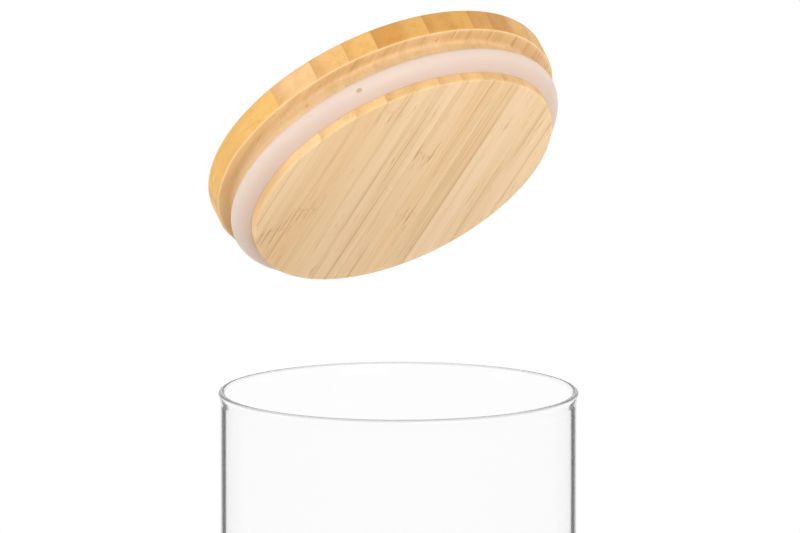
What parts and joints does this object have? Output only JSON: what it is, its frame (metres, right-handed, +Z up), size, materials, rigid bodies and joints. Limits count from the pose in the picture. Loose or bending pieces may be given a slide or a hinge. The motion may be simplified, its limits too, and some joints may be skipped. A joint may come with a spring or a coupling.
{
  "type": "storage jar",
  "caption": "Straight cylindrical glass storage jar with a flared rim, and a turned bamboo lid with a silicone seal, held off above the mouth.",
  "frame": {"origin": "middle of the jar's flat base, on the surface it stands on", "axes": "+Z up along the jar's middle line, -Y towards the viewer of the picture"},
  "size_m": [0.1029, 0.1166, 0.2568],
  "materials": {
    "clear_glass": "clear, fire-polished",
    "silicone": "milky, matte",
    "bamboo_light": "sanded and oiled",
    "bamboo_mid": "sanded and oiled",
    "bamboo_dark": "sanded and oiled"
  },
  "bodies": {
    "jar": {"jar_glass": "clear_glass"},
    "lid": {"seal_ring": "silicone", "lid_strip_01": "bamboo_mid", "lid_strip_02": "bamboo_light", "lid_strip_03": "bamboo_light", "lid_strip_04": "bamboo_mid", "lid_strip_05": "bamboo_dark", "lid_strip_06": "bamboo_mid", "lid_strip_07": "bamboo_mid", "lid_strip_08": "bamboo_light", "lid_strip_09": "bamboo_dark", "lid_strip_10": "bamboo_dark", "lid_strip_11": "bamboo_mid", "lid_strip_12": "bamboo_light", "lid_strip_13": "bamboo_mid", "lid_strip_14": "bamboo_light", "lid_strip_15": "bamboo_mid"}
  },
  "joints": [
    {"name": "lid_lift", "type": "hinge", "parent": "jar", "child": "lid", "pos_m": [-0.04527, 0.07686, 0.1592], "axis": [-0.8508, -0.5112, 0.1219], "range_deg": [-45.5, 0], "deforming": ["seal_ring"]}
  ]
}
